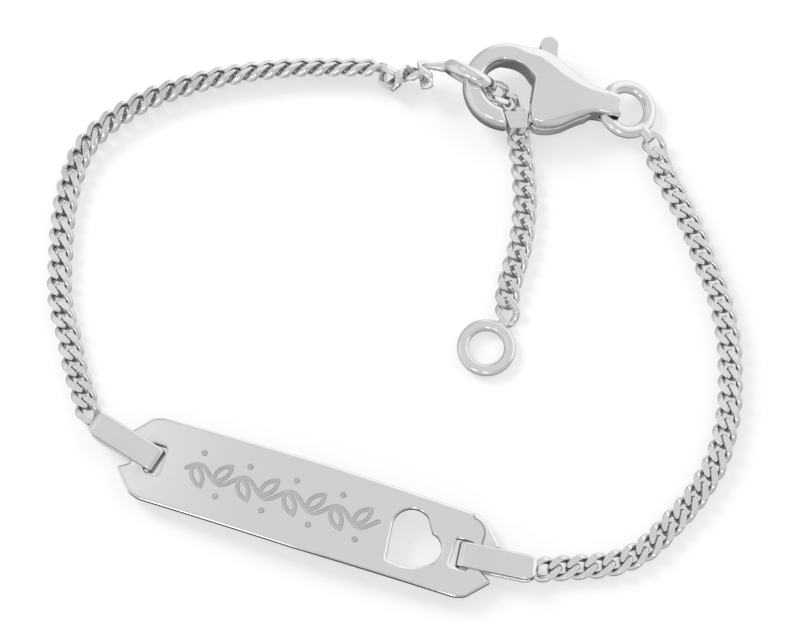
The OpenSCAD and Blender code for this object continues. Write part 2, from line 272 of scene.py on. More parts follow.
class Work:
    """A shape in millimetres on its way to being a finished piece."""

    def __init__(self) -> None:
        """Starts with nothing."""
        self.bm = bmesh.new()

    @classmethod
    def of_node(cls, name: str) -> "Work":
        """Starts with a merged copy of a CAD node.

        Args:
            name: Name of the node.

        Returns:
            The copy, in millimetres.
        """
        made = cls()
        made.bm.from_mesh(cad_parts[name].data)
        made.stretched(1 / MM, 1 / MM, 1 / MM)
        bmesh.ops.remove_doubles(made.bm, verts=made.bm.verts, dist=MERGED)
        return made

    def add(self, other: "Work", matrix: Matrix | None = None) -> "Work":
        """Adds another shape to this one.

        Args:
            other: The shape, which is kept.
            matrix: Where to put it.

        Returns:
            This shape.
        """
        mesh = other.to_mesh("added")
        if matrix is not None:
            mesh.transform(matrix)
        self.bm.from_mesh(mesh)
        bpy.data.meshes.remove(mesh)
        return self

    def to_mesh(self, name: str) -> bpy.types.Mesh:
        """Writes the shape, as it is, to a new mesh."""
        mesh = bpy.data.meshes.new(name)
        self.bm.to_mesh(mesh)
        return mesh

    def loop(
        self, points: Iterable[Sequence[float]]
    ) -> tuple[list[BMVert], list[BMEdge]]:
        """Adds a closed line through points, and returns its new corners and edges."""
        verts = [self.bm.verts.new(Vector(point).to_3d()) for point in points]
        return verts, [self.bm.edges.new(pair) for pair in zip(verts, verts[1:] + verts[:1])]

    def bevel(self, parts: list, affect: str, offset: float, segments: int) -> None:
        """Rounds edges, or the corners of an outline, in a number of steps."""
        bmesh.ops.bevel(self.bm, geom=parts, offset=offset, offset_type="OFFSET",
                        affect=affect, segments=segments, profile=0.5, material=-1,
                        clamp_overlap=True)

    def raised(self, faces: Iterable[BMFace], height: float) -> None:
        """Draws flat faces up into a solid."""
        grown = bmesh.ops.extrude_face_region(self.bm, geom=list(faces))["geom"]
        bmesh.ops.translate(self.bm, vec=(0, 0, height),
                            verts=[g for g in grown if isinstance(g, BMVert)])
        self.outward()

    def scored(self, point: Sequence[float], normal: Sequence[float]) -> None:
        """Adds the edges in which a plane meets the faces."""
        bmesh.ops.bisect_plane(self.bm, geom=[*self.bm.verts, *self.bm.edges, *self.bm.faces],
                               dist=CUT_MERGED, plane_co=point, plane_no=normal)

    def moved(self, matrix: Matrix) -> "Work":
        """Moves the whole shape."""
        bmesh.ops.transform(self.bm, matrix=matrix, verts=self.bm.verts)
        return self

    def stretched(self, x: float, y: float, z: float) -> "Work":
        """Scales the whole shape."""
        bmesh.ops.scale(self.bm, vec=(x, y, z), verts=self.bm.verts)
        return self

    def outward(self) -> "Work":
        """Turns every face outwards."""
        bmesh.ops.recalc_face_normals(self.bm, faces=self.bm.faces)
        return self

    def closed(self) -> "Work":
        """Fills the open ends."""
        bmesh.ops.holes_fill(self.bm, edges=[e for e in self.bm.edges if e.is_boundary],
                             sides=0)
        return self.outward()

    def modified(self, kind: str, settings: dict[str, Any]) -> "Work":
        """Applies a modifier.

        Args:
            kind: Its type.
            settings: Its settings.

        Returns:
            The result, as a new shape.
        """
        held = placed("held", self.to_mesh("held"))
        modifier = held.modifiers.new("held", kind)
        for name, value in settings.items():
            setattr(modifier, name, value)
        bpy.context.view_layer.update()
        shown = held.evaluated_get(bpy.context.evaluated_depsgraph_get())
        result = bpy.data.meshes.new_from_object(shown)
        made = Work()
        made.bm.from_mesh(result)
        bpy.data.meshes.remove(result)
        bpy.data.meshes.remove(held.data)
        return made

    def fused(self, voxel: float, passes: int) -> "Work":
        """Melts overlapping parts into one smooth skin.

        Args:
            voxel: Size of the detail kept.
            passes: How often the skin is smoothed.

        Returns:
            The new shape.
        """
        made = self.modified("REMESH", {"mode": "VOXEL", "voxel_size": voxel,
                                        "adaptivity": 0.0})
        for _ in range(passes):
            bmesh.ops.smooth_vert(made.bm, verts=made.bm.verts, factor=0.5,
                                  use_axis_x=True, use_axis_y=True, use_axis_z=True)
        return made

    def cut_by(self, cutter: "Work") -> "Work":
        """Takes another shape out of this one.

        Args:
            cutter: The other shape.

        Returns:
            What is left, as a new shape.
        """
        tool = placed("cutter", cutter.to_mesh("cutter"))
        made = self.modified("BOOLEAN", {"operation": "DIFFERENCE", "solver": "EXACT",
                                         "object": tool})
        bpy.data.meshes.remove(tool.data)
        return made

    def finish(
        self, name: str, replaced: Sequence[str], finishes: Sequence[Silver],
        weighted: bool = False, body: str = MAIN_BODY,
    ) -> None:
        """Makes the piece that shows, at the origin.

        Args:
            name: Name of the piece.
            replaced: The CAD nodes that it stands for.
            finishes: Its finishes, in the order of its faces' material numbers.
            weighted: Whether large flat faces keep their own shading.
            body: The CAD body that it rides on.
        """
        self.stretched(MM, MM, MM)
        for face in self.bm.faces:
            face.smooth = True
        mesh = self.to_mesh(name)
        self.bm.free()
        piece = placed(name, mesh)
        for finish in finishes:
            mesh.materials.append(finish.value.material())
        if weighted:
            mesh.set_sharp_from_angle(angle=math.radians(EDGE_ANGLE))
            modifier = piece.modifiers.new("flats", "WEIGHTED_NORMAL")
            modifier.weight = 100
            modifier.keep_sharp = True
        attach(piece, body)
        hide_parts(*replaced)
        log.info("%s: %d faces", name, len(mesh.polygons))


def wire_ring(
    middle: float, thickness: float, side: float, steps: int, sides: int
) -> Work:
    """Ring of bent wire about Z.

    Args:
        middle: Radius of the wire's middle line.
        thickness: Thickness of the wire.
        side: Half of what an oval wire is wider than thick.
        steps: Steps round the ring.
        sides: Sides round the wire.

    Returns:
        The ring.
    """
    made = Work()
    bmesh.ops.create_circle(made.bm, segments=sides, radius=thickness / 2)
    made.moved(turn(x=90) @ turn(z=180 / sides))
    made.stretched(1, 1, 1 + 2 * side / thickness).moved(move(middle, 0, 0))
    bmesh.ops.spin(made.bm, geom=list(made.bm.verts) + list(made.bm.edges), cent=(0, 0, 0),
                   axis=(0, 0, 1), angle=math.tau, steps=steps, use_merge=True)
    return made.outward()


def solder(
    start: Sequence[float], end: Sequence[float], width: float, end_width: float = 0.0
) -> Work:
    """Round solder bar between two points.

    Args:
        start: Where it starts.
        end: Where it ends.
        width: Its width.
        end_width: Its width at the end, where that is another one.

    Returns:
        The bar.
    """
    a, b = Vector(start), Vector(end)
    made = Work()
    bmesh.ops.create_cone(made.bm, cap_ends=True, segments=24, radius1=width / 2,
                          radius2=(end_width or width) / 2, depth=(b - a).length)
    turned = (b - a).to_track_quat("Z", "Y").to_matrix().to_4x4()
    return made.moved(Matrix.Translation((a + b) / 2) @ turned)


# Chains


@dataclass
class CurbLink:
    """One twisted link with its two sides filed flat."""

    wire: float = 0.48  # Wire of its flanks
    bend: float = 0.44  # Wire of its bent ends
    half: float = 0.87  # Half length along the middle of the wire
    width: float = 1.69
    roundness: float = 0.92  # 1 is an ellipse, less is squarer
    twist: float = 60.0  # Turn of the ends, in degrees
    slant: float = -0.14  # How far the flanks are pushed along past each other
    height: float = 1.32  # How much higher than wide the wire is pressed
    flat: float = 0.4  # Half height left by the filing
    stations: int = 36  # Steps round the link
    sides: int = 20  # Sides round the wire
    level: float = 0.75  # How far up a face looks to count as open to the light

    def squared(self, x: float) -> float:
        """Sine or cosine of a link that is squarer than an ellipse."""
        return math.copysign(abs(x) ** self.roundness, x)

    def middle(self, t: float) -> Vector:
        """Middle of the wire.

        Args:
            t: Angle along the link, in degrees.

        Returns:
            The point.
        """
        x = self.squared(math.cos(math.radians(t)))
        y = self.squared(math.sin(math.radians(t)))
        f = math.radians(self.twist * x)
        b = (self.width - self.wire) / 2
        return Vector((self.half * x, b * y * math.cos(f), -b * y * math.sin(f)))

    def skin(self, t: float, w: float) -> Vector:
        """Surface of the wire.

        Args:
            t: Angle along the link, in degrees.
            w: Angle round the wire, in radians.

        Returns:
            The point.
        """
        f = math.radians(self.twist * self.squared(math.cos(math.radians(t))))
        along = (self.middle(t + 1) - self.middle(t - 1)).normalized()
        up = Vector((0, math.sin(f), math.cos(f)))
        up = (up - along * up.dot(along)).normalized()
        out = along.cross(up)
        ended = math.cos(math.radians(t)) ** 2
        radius = (self.wire + (self.bend - self.wire) * ended) / 2
        spot = self.middle(t) + radius * (math.cos(w) * out + math.sin(w) * up)
        spot.x -= self.slant * spot.y
        spot.z *= self.height
        return spot

    def build(self) -> Work:
        """Bends a plain ring into the link and files it. Its unfiled inside, where it faces down,
        gets a darker silver as painted shade.

        Returns:
            The link, about its middle.
        """
        bare = 1.0
        made = wire_ring(bare, 0.4 * bare, 0.0, self.stations, self.sides)
        for vert in made.bm.verts:
            t = math.degrees(math.atan2(vert.co.y, vert.co.x)) + 180 / self.stations
            w = math.atan2(vert.co.z, math.hypot(vert.co.x, vert.co.y) - bare)
            spot = self.skin(t, w)
            spot.z = max(-self.flat, min(self.flat, spot.z))
            vert.co = spot
        made.outward()
        for face in made.bm.faces:
            middle = face.calc_center_median()
            filed = abs(middle.z) > 0.99 * self.flat
            # Unfiled faces inside the link that look down get the darker silver: painted shade
            hidden = abs(middle.y) < self.width / 4 and face.normal.z < self.level
            face.material_index = 1 if hidden and not filed else 0
        return made


@dataclass
class Route:
    """Middle line of a chain."""

    # Each x, y, height and roll about the line in degrees
    points: list[tuple[float, float, float, float]]
    pitch: float = 1.19  # Spacing of the links, wanted

    def __post_init__(self) -> None:
        """Works out the running lengths and the number of links."""
        self.rows = [Vector(p) for p in self.points]
        self.runs = [0.0]
        for a, b in zip(self.rows, self.rows[1:]):
            self.runs.append(self.runs[-1] + (b.to_3d() - a.to_3d()).length)
        self.count = round(self.runs[-1] / self.pitch)

    def slope(self, i: int) -> Vector:
        """Slope of the smooth line at one of its points."""
        a, b = max(i - 1, 0), min(i + 1, len(self.rows) - 1)
        return (self.rows[b] - self.rows[a]) / (self.runs[b] - self.runs[a])

    def at(self, s: float) -> Vector:
        """Place on the line, which goes on straight past its ends.

        Args:
            s: Running length.

        Returns:
            The point, and the roll in degrees.
        """
        if s < 0:
            return self.rows[0] + self.slope(0) * s
        if s > self.runs[-1]:
            return self.rows[-1] + self.slope(len(self.rows) - 1) * (s - self.runs[-1])
        i = next(k for k in range(1, len(self.runs)) if self.runs[k] >= s)
        d = self.runs[i] - self.runs[i - 1]
        h = (s - self.runs[i - 1]) / d
        return eased(self.rows[i - 1], self.rows[i], self.slope(i - 1) * d, self.slope(i) * d, h)

    def place(self, i: int) -> Matrix:
        """Where a link stands.

        Args:
            i: Number of the link, counted from the soldered one at the start.

        Returns:
            Its place.
        """
        step = self.runs[-1] / self.count
        p = self.at(i * step)
        x = (self.at((i + 0.5) * step).to_3d() - self.at((i - 0.5) * step).to_3d()).normalized()
        y = Vector((0, 0, 1)).cross(x).normalized()
        z = x.cross(y)
        turned = Matrix((x, y, z)).transposed().to_4x4()
        return Matrix.Translation(p.to_3d()) @ turned @ turn(x=p.w)


LEFT_ROUTE = Route([
    (-17.3, -15.0, 0.5, 0), (-18.2, -13.7, 0.48, 0), (-19.1, -12.5, 0.5, -3),
    (-20.6, -10.0, 0.52, -6), (-21.5, -8.7, 0.53, -8), (-22.2, -7.15, 0.54, -10),
    (-22.85, -5.1, 0.55, -11), (-23.4, -3.3, 0.57, -12), (-23.85, -1.2, 0.59, -14),
    (-24.05, 0.9, 0.61, -16), (-23.95, 2.65, 0.66, -20), (-23.35, 4.3, 0.70, -24),
    (-22.3, 5.9, 0.73, -27), (-20.8, 7.6, 0.75, -29), (-19.05, 9.0, 0.77, -31),
    (-17.2, 10.25, 0.79, -34), (-15.3, 11.3, 0.81, -37), (-13.4, 12.2, 0.83, -40),
    (-11.4, 13.0, 0.84, -42), (-8.7, 13.85, 0.85, -44), (-6.0, 14.6, 0.9, -50),
    (-4.4, 14.75, 1.0, -58), (-3.05, 14.8, 1.12, -60)])
RIGHT_ROUTE = Route([
    (14.0, 14.85, 0.65, 2), (14.65, 13.75, 0.65, 12), (15.5, 12.7, 0.7, 20),
    (16.7, 11.4, 0.75, 26), (18.2, 9.65, 0.77, 28), (19.5, 7.8, 0.77, 28),
    (20.9, 5.95, 0.75, 26), (22.0, 4.05, 0.72, 24), (22.7, 2.5, 0.69, 20),
    (23.35, 0.45, 0.65, 16), (23.8, -1.3, 0.62, 14), (24.05, -3.35, 0.59, 12),
    (24.05, -5.5, 0.57, 10), (23.7, -7.2, 0.53, 6), (23.1, -9.0, 0.5, 3),
    (22.3, -10.7, 0.48, 0), (21.4, -12.4, 0.47, 0), (20.6, -13.4, 0.47, 0),
    (19.7, -14.15, 0.47, 0), (18.7, -14.7, 0.47, 0), (17.65, -15.15, 0.47, 0),
    (16.7, -15.5, 0.48, 0), (15.2, -16.1, 0.5, 0)])
TAIL_ROUTE = Route([
    (2.6, 15.28, 0.76, -12), (3.58, 14.62, 0.64, -6), (4.32, 13.7, 0.55, 2),
    (4.82, 12.6, 0.53, 8), (5.4, 11.3, 0.55, 10), (5.9, 10.1, 0.55, 10), (6.3, 9.0, 0.55, 10),
    (6.65, 7.9, 0.55, 10), (6.9, 6.6, 0.55, 10), (7.1, 5.5, 0.55, 10), (7.2, 4.2, 0.53, 8),
    (7.2, 3.0, 0.5, 5), (7.32, 1.5, 0.47, 2), (7.67, 0.25, 0.45, 0)])
LEFT_TANGLE = {
    36: move(-5.3, 14.25, 0.85) @ turn(x=52, y=8, z=-40),
    37: move(-4.4, 14.3, 0.95) @ turn(x=-80, y=-15, z=56),
    38: move(-3.3, 14.8, 1.14) @ turn(x=-60, y=-5, z=2)}
TAIL_LINK = CurbLink(wire=0.45, bend=0.37, half=0.85, width=1.7, roundness=0.74, twist=52,
                     slant=0.06, height=1.14, flat=0.42)


@dataclass
class CurbChain:
    """Loose links along a route."""

    name: str  # The CAD node that they stand for
    route: Route  # Where they run
    last: int  # Number of the last link, counted from the soldered one at the start
    # Places of the links that leave the route, by number
    tangle: dict[int, Matrix] = field(default_factory=dict)
    link: CurbLink = field(default_factory=CurbLink)  # Their shape

    def build(self) -> None:
        """Threads the links."""
        one = self.link.build()
        made = Work()
        for i in range(1, self.last + 1):
            made.add(one, self.tangle.get(i) or self.route.place(i))
        made.finish(self.name + "_links", [self.name], [Silver.LINK, Silver.RECESS], weighted=True)


@dataclass
class Rings:
    """The three jump rings with the links soldered to them."""

    outside: float = 4.0  # Width over the end ring and over the sizing ring
    wire: float = 0.8
    clasp_outside: float = 4.2
    clasp_wire: float = 0.9
    sizing_wire: float = 0.6  # Thickness of the sizing ring's oval wire
    sizing_width: float = 0.9  # Width of that wire
    worn: float = 0.345  # Height of the flat worn on top of the end ring
    steps: int = 96
    sides: int = 28
    voxel: float = 0.036  # Size of the detail kept where parts are soldered together
    passes: int = 3  # How often the joints are smoothed

    def ring(self, outside: float, wire: float, width: float) -> Work:
        """Ring of wire of a thickness and a width, about its middle."""
        return wire_ring((outside - wire) / 2, wire, (width - wire) / 2, self.steps, self.sides)

    def soldered(self, node: str, *parts: Work) -> None:
        """Solders parts together.

        Args:
            node: The CAD node that they stand for.
            parts: The parts, in place.
        """
        made = Work()
        for part in parts:
            made.add(part)
        made.fused(self.voxel, self.passes).finish(node + "_silver", [node], [Silver.CAST])

    def build(self) -> None:
        """Makes the sizing ring, the worn end ring and the ring in the clasp's tail."""
        sizing = self.ring(self.outside, self.sizing_wire, self.sizing_width)
        turned = move(-2.75, 14.75, 1.72) @ turn(z=-62) @ turn(x=90)
        self.soldered("sizing_ring",
                      sizing.moved(move(0.38, 15.35, 2.2) @ turn(x=14, z=-10) @ turn(x=90)),
                      solder((-2.75, 15.2, 2.3), (-1.3, 15.62, 2.15), 0.42, 0.86),
                      solder((1.5, 15.05, 0.85), (1.95, 15.3, 0.78), 0.55),
                      CurbLink().build().moved(turned),
                      CurbLink().build().moved(TAIL_ROUTE.place(0)))
        end = self.ring(self.outside, self.wire, self.wire)
        for vert in end.bm.verts:
            vert.co.z = min(vert.co.z, self.worn)
        self.soldered("end_ring", end.moved(move(7.04, -2.64, 0.41)),
                      solder((7.6, -0.5, 0.45), (7.35, -1.2, 0.4), 0.6),
                      CurbLink().build().moved(TAIL_ROUTE.place(TAIL_ROUTE.count)))
        tail = self.ring(self.clasp_outside, self.clasp_wire, self.clasp_wire)
        self.soldered("clasp_ring", tail.moved(move(11.45, 16.78, 1.0) @ turn(y=15)),
                      solder((12.7, 15.9, 0.75), (13.7, 15.2, 0.7), 0.7),
                      CurbLink().build().moved(RIGHT_ROUTE.place(0)))


# Plate and bails


@dataclass
class Bail:
    """Strap folded into a flat loop, with the chain's first link soldered to its end."""

    name: str  # The CAD node that it stands for
    foot: Matrix  # Where its fold in the plate's slot stands
    link_at: Matrix  # Where its link stands
    length: float = 5.8
    width: float = 1.7
    band: float = 0.38  # Thickness of the strap
    height: float = 1.7
    corner: float = 0.5  # Roundness of the folds
    edge: float = 0.15  # Roundness of the strap's edges
    edge_angle: float = 50.0  # Angle in degrees past which an edge is rounded
    end_round: float = 1.05  # Length of the rounded far end
    # Places of the cuts that let that end narrow, as parts of its length
    end_cuts: tuple[float, ...] = (0.95, 0.85, 0.7, 0.55, 0.4, 0.25)
    taper: float = 2.6  # How late the end narrows
    blunt: float = 0.35  # Least part of the width kept at the end
    sideways: float = 0.75  # How squarely a face of the strap's sides looks sideways

    def strap(self) -> Work:
        """Bends the strap into a loop and rounds its edges and its far end.

        Returns:
            The strap, with its near fold at the origin.
        """
        inset = self.band / 2
        lows, highs = inset, self.height - inset
        near, far = inset, self.length - inset
        made = Work()
        corners, _ = made.loop((x, -self.width / 2, z) for x, z in (
            (near, lows), (far, lows), (far, highs), (near, highs)))
        made.bevel(corners, "VERTICES", self.corner, 7)
        swept = bmesh.ops.extrude_edge_only(made.bm, edges=list(made.bm.edges))["geom"]
        bmesh.ops.translate(made.bm, vec=(0, self.width, 0),
                            verts=[g for g in swept if isinstance(g, BMVert)])
        made.outward()
        bmesh.ops.solidify(made.bm, geom=list(made.bm.faces), thickness=self.band)
        made.outward()
        limit = math.radians(self.edge_angle)
        made.bevel([e for e in made.bm.edges if len(e.link_faces) == 2
                    and e.calc_face_angle(0.0) > limit], "EDGES", self.edge, 5)
        end = max(vert.co.x for vert in made.bm.verts)
        for part in self.end_cuts:
            made.scored((end - part * self.end_round, 0, 0), (1, 0, 0))
        for vert in made.bm.verts:
            over = 1.0 + (vert.co.x - end) / self.end_round
            if over > 0:
                vert.co.y *= max(self.blunt, max(0.0, 1.0 - over ** self.taper) ** 0.5)
        return made

    def build(self) -> None:
        """Joins the strap and its link. The sides of the upper layer are shaded."""
        strap = self.strap()
        for face in strap.bm.faces:
            # The sides of the upper layer get the darker silver: painted shade
            upper = face.calc_center_median().z > self.height / 2
            face.material_index = 1 if upper and abs(face.normal.y) > self.sideways else 0
        made = Work().add(strap, self.foot).add(CurbLink().build(), self.link_at)
        made.finish(self.name + "_strap", [self.name], [Silver.STRAP, Silver.SHADED],
                    weighted=True)


@dataclass
class Garland:
    """Vine with leaves and berries, as the round tool paths that engrave it."""

    # Height of the plate's top face at a distance from the plate's middle
    top: Callable[[float], float]
    stroke: float = 0.16  # Radius of the tool
    depth: float = 0.1
    start: float = -8.5  # Where the vine starts, from the plate's middle
    swing: float = 0.5  # How far the vine swings to either side
    pace: float = 1.94  # How fast it swings, in radians for each millimetre
    vine_step: float = 0.36
    vine_points: int = 38
    leaves: int = 8
    leaf_start: float = 0.4  # Distance of the first leaf from the vine's start
    leaf_pitch: float = 1.62
    leaf_length: float = 0.9  # How far along the plate a leaf reaches
    leaf_reach: float = 1.65  # How far from the plate's middle line it reaches
    leaf_bulge: float = 0.36  # How far its edges bulge
    leaf_fullness: float = 0.8  # Less is fuller towards the leaf's ends
    leaf_steps: int = 8
    berry: float = 0.25  # Radius of the berries
    # How far a berry is along the plate from its leaf's foot, beside it and up
    berry_at: Triple = (0.45, 0.95, 0.12)
    voxel: float = 0.03

    @staticmethod
    def dot(spot: Vector, radius: float) -> Work:
        """Ball, as a berry or the round end of a stroke."""
        made = Work()
        bmesh.ops.create_uvsphere(made.bm, u_segments=12, v_segments=8, radius=radius)
        return made.moved(Matrix.Translation(spot))

    def path(self, points: Iterable[Pair]) -> Work:
        """Round tool path along points on the plate.

        Args:
            points: Places on the plate, from its middle.

        Returns:
            The path, to be cut out.
        """
        rise = self.stroke - self.depth
        line = [Vector((x, y, self.top(x) + rise)) for x, y in points]
        made = Work()
        rings = []
        for before, spot, after in zip(line[:1] + line, line, line[1:] + line[-1:]):
            turned = (after - before).to_track_quat("Z", "Y").to_matrix().to_4x4()
            circle = bmesh.ops.create_circle(made.bm, segments=10, radius=self.stroke,
                                             matrix=Matrix.Translation(spot) @ turned)["verts"]
            rings.append(list(dict.fromkeys(e for vert in circle for e in vert.link_edges)))
        for one, other in zip(rings, rings[1:]):
            bmesh.ops.bridge_loops(made.bm, edges=one + other)
        made.closed()
        for spot in (line[0], line[-1]):
            made.add(self.dot(spot, self.stroke))
        return made

    def vine(self, x: float) -> float:
        """Line that the leaves stand on."""
        return self.swing * math.sin((x - self.start) * self.pace)

    def edge(self, x: float, side: int, bulge: float) -> list[Pair]:
        """One edge of a leaf.

        Args:
            x: Where the leaf stands on the vine.
            side: 1 for a leaf on the back's side, -1 on the front's.
            bulge: How far the edge bulges.

        Returns:
            Its points.
        """
        y = self.vine(x)
        points = []
        for step in range(self.leaf_steps + 1):
            h = step / self.leaf_steps
            out = bulge * math.sin(math.pi * h) ** self.leaf_fullness
            points.append((x + self.leaf_length * h - out * 0.8 * side,
                           y + side * (self.leaf_reach - abs(y)) * h + out * 0.5))
        return points

    def build(self) -> Work:
        """Joins the vine, the leaves and the berries.

        Returns:
            The cutter, in the plate's own place.
        """
        vine = [self.start + self.vine_step * i for i in range(self.vine_points)]
        made = self.path((x, self.vine(x)) for x in vine)
        for k in range(self.leaves):
            x = self.start + self.leaf_start + self.leaf_pitch * k
            side = 1 if k % 2 else -1
            for bulge in (-self.leaf_bulge, self.leaf_bulge):
                made.add(self.path(self.edge(x, side, bulge)))
            along, beside, up = self.berry_at
            berry = (x + along, self.vine(x) - side * beside, self.top(x + along) + up)
            made.add(self.dot(Vector(berry), self.berry))
        return made.fused(self.voxel, 2)


@dataclass
class NamePlate:
    """Arched plate with a heart cut out of it and a garland in the place for a name."""

    middle: Pair = (-1.05, -16.9)
    arch: float = 120.0  # Radius of the arch's underside
    lift: float = 1.2  # Height of the underside in the middle
    sheet: float = 0.6  # Thickness of the sheet
    # Steps of the rounded rims, each inwards and up
    rim: tuple[Pair, ...] = (
        (0.02, 0.05), (0.04, 0.03), (0.09, 0.035), (0.06, 0.01))
    point: float = 0.16  # Roundness of the outline's corners
    # Each slot's left, right, near and back edge
    slots: tuple[tuple[float, float, float, float], ...] = (
        (-11.25, -10.15, -1.0, 1.0), (10.06, 11.25, -0.98, 0.93))
    slot_corner: float = 0.18
    # Middle and radius of the round corner of the flat at the right end
    corner: Triple = (10.75, 1.5, 0.95)
    step: float = 0.12  # Width of the steep edge round that corner
    steep: float = 0.8  # Slope of that edge, on top of the shallow one
    shallow: float = 0.15  # Slope outside the round corner
    upright: float = 0.3  # How far up a face of a wall looks at most
    # Left and right end and half width of the garland's place
    panel: Triple = (-9.5, 5.6, 2.4)
    # How far below the top the faces of the garland lie
    engraved: Pair = (0.006, 0.3)

    def top(self, x: float) -> float:
        """Height of the top face at a distance from the plate's middle."""
        return self.lift - self.arch + math.sqrt((self.arch + self.sheet) ** 2 - x * x)

    @staticmethod
    def outline() -> list[Pair]:
        """Corners of the plate, from its middle."""
        quarter = [(0.0, 3.0), (11.0, 2.88), (11.7, 2.65), (13.05, 1.2), (12.3, 0.75)]
        right = quarter + [(12.2, 0.0)] + [(x, -y) for x, y in reversed(quarter)]
        return right + [(-x, y) for x, y in reversed(right[1:-1])]

    @staticmethod
    def heart() -> list[Pair]:
        """Corners of the heart, from the plate's middle."""
        def arc(x: float, y: float, radius: float, start: float, end: float,
                steps: int) -> list[Pair]:
            """Points on a circle between two angles in degrees."""
            angles = [math.radians(start + (end - start) * k / steps) for k in range(steps + 1)]
            return [(x + radius * math.cos(a), y + radius * math.sin(a)) for a in angles]

        return (arc(7.03, 0.62, 1.3, 48, 191, 20) + arc(6.11, -1.78, 0.12, 191, 265, 3)
                + [(6.55, -1.97), (7.0, -2.0), (7.45, -1.97), (7.9, -1.86), (8.35, -1.66)]
                + arc(8.21, -0.4, 1.131, -60, 79, 20))

    def sheet_metal(self) -> Work:
        """Cuts the flat sheet and rounds its rims.

        Returns:
            The sheet, from height 0 up.
        """
        made = Work()
        outer, _ = made.loop(self.outline())
        made.bevel(outer, "VERTICES", self.point, 3)
        made.loop(self.heart())
        for left, right, near, back in self.slots:
            corners, _ = made.loop([(left, near), (right, near), (right, back), (left, back)])
            made.bevel(corners, "VERTICES", self.slot_corner, 3)
        bmesh.ops.triangle_fill(made.bm, edges=list(made.bm.edges), use_beauty=True,
                                normal=(0, 0, 1))
        made.raised(made.bm.faces, self.sheet - sum(up for _, up in self.rim))
        for inward, up in self.rim:
            top = [f for f in made.bm.faces if f.normal.z > 0.99]
            bmesh.ops.inset_region(made.bm, faces=top, use_boundary=True,
                                   use_even_offset=True, thickness=inward, depth=up)
        return made

    def over_corner(self, x: float, y: float) -> float:
        """How far a place lies outside the round corner of the flat at the right end."""
        right, back = x - self.corner[0], max(y - self.corner[1], 0.0)
        return math.hypot(right, back) - self.corner[2] if right > 0 and y > 0 else -1.0

    def slope(self, made: Work) -> None:
        """Files the top of the sheet down outside the round corner.

        Args:
            made: The flat sheet.
        """
        x, y, radius = self.corner
        for angle in range(0, 91, 10):
            out = turn(z=angle) @ Vector((1.0, 0.0, 0.0))
            for reach in (radius, radius + self.step):
                made.scored(Vector((x, y, 0.0)) + out * reach, out)
        made.scored((0, 0, 0), (0, 1, 0))
        for vert in made.bm.verts:
            over = self.over_corner(vert.co.x, vert.co.y)
            if over > 0.001 and vert.co.z > self.sheet / 3:
                vert.co.z -= self.shallow * over + self.steep * min(over, self.step)

    def finish_at(self, face: BMFace) -> Silver:
        """Finish of a face of the arched sheet.

        Args:
            face: The face.

        Returns:
            Its finish.
        """
        spot = face.calc_center_median()
        left, right, half = self.panel
        shallowest, deepest = self.engraved
        inside = abs(spot.y) < half and left < spot.x < right
        if inside and shallowest < self.top(spot.x) - spot.z < deepest:
            return Silver.ENGRAVED
        over = self.over_corner(spot.x, spot.y)
        # Walls and the steep strip round the corner get the darker silver: painted shade
        if abs(face.normal.z) < self.upright or 0.0 < over < self.step:
            return Silver.SHADED
        return Silver.FILED if over > self.step else Silver.PLATE

    def build(self) -> None:
        """Arches the sheet and cuts the garland."""
        made = self.sheet_metal()
        self.slope(made)
        for x in range(-12, 13):
            made.scored((x, 0, 0), (1, 0, 0))
        for vert in made.bm.verts:
            radius = self.arch + vert.co.z
            vert.co.z = self.lift - self.arch + math.sqrt(radius ** 2 - vert.co.x ** 2)
        made = made.cut_by(Garland(self.top).build())
        finishes = [Silver.PLATE, Silver.ENGRAVED, Silver.SHADED, Silver.FILED]
        for face in made.bm.faces:
            face.material_index = finishes.index(self.finish_at(face))
        made.moved(move(*self.middle, 0))
        made.finish("name_plate_sheet", ["name_plate"], finishes, weighted=True)


# Clasp


@dataclass
class Section:
    """Cross-section of the clasp's body."""

    along: float  # Distance along the clasp
    far: float  # Side opposite the gate
    far_face: float  # Edge of the top face on that side
    near_face: float  # Edge of the top face on the gate's side
    near: float  # The gate's side
    top: float  # Height of the top face
    under: float  # Height of the underside
    rim: float  # Height where the top face's slope meets the sides

    def corners(self) -> list[Triple]:
        """Lists the corners. The lower edge on the gate's side stands out.

        Returns:
            The corners, in order round the section.
        """
        low = -min(self.rim, -self.under - 0.08)
        flare = 0.2 if self.near < -1.0 else 0.0
        round_it = [(self.far, low), (self.far, self.rim), (self.far_face, self.top),
                    (self.near_face, self.top), (self.near, self.rim),
                    (self.near - flare, low), (self.near_face, self.under),
                    (self.far_face, self.under)]
        return [(self.along, y, z) for y, z in round_it]


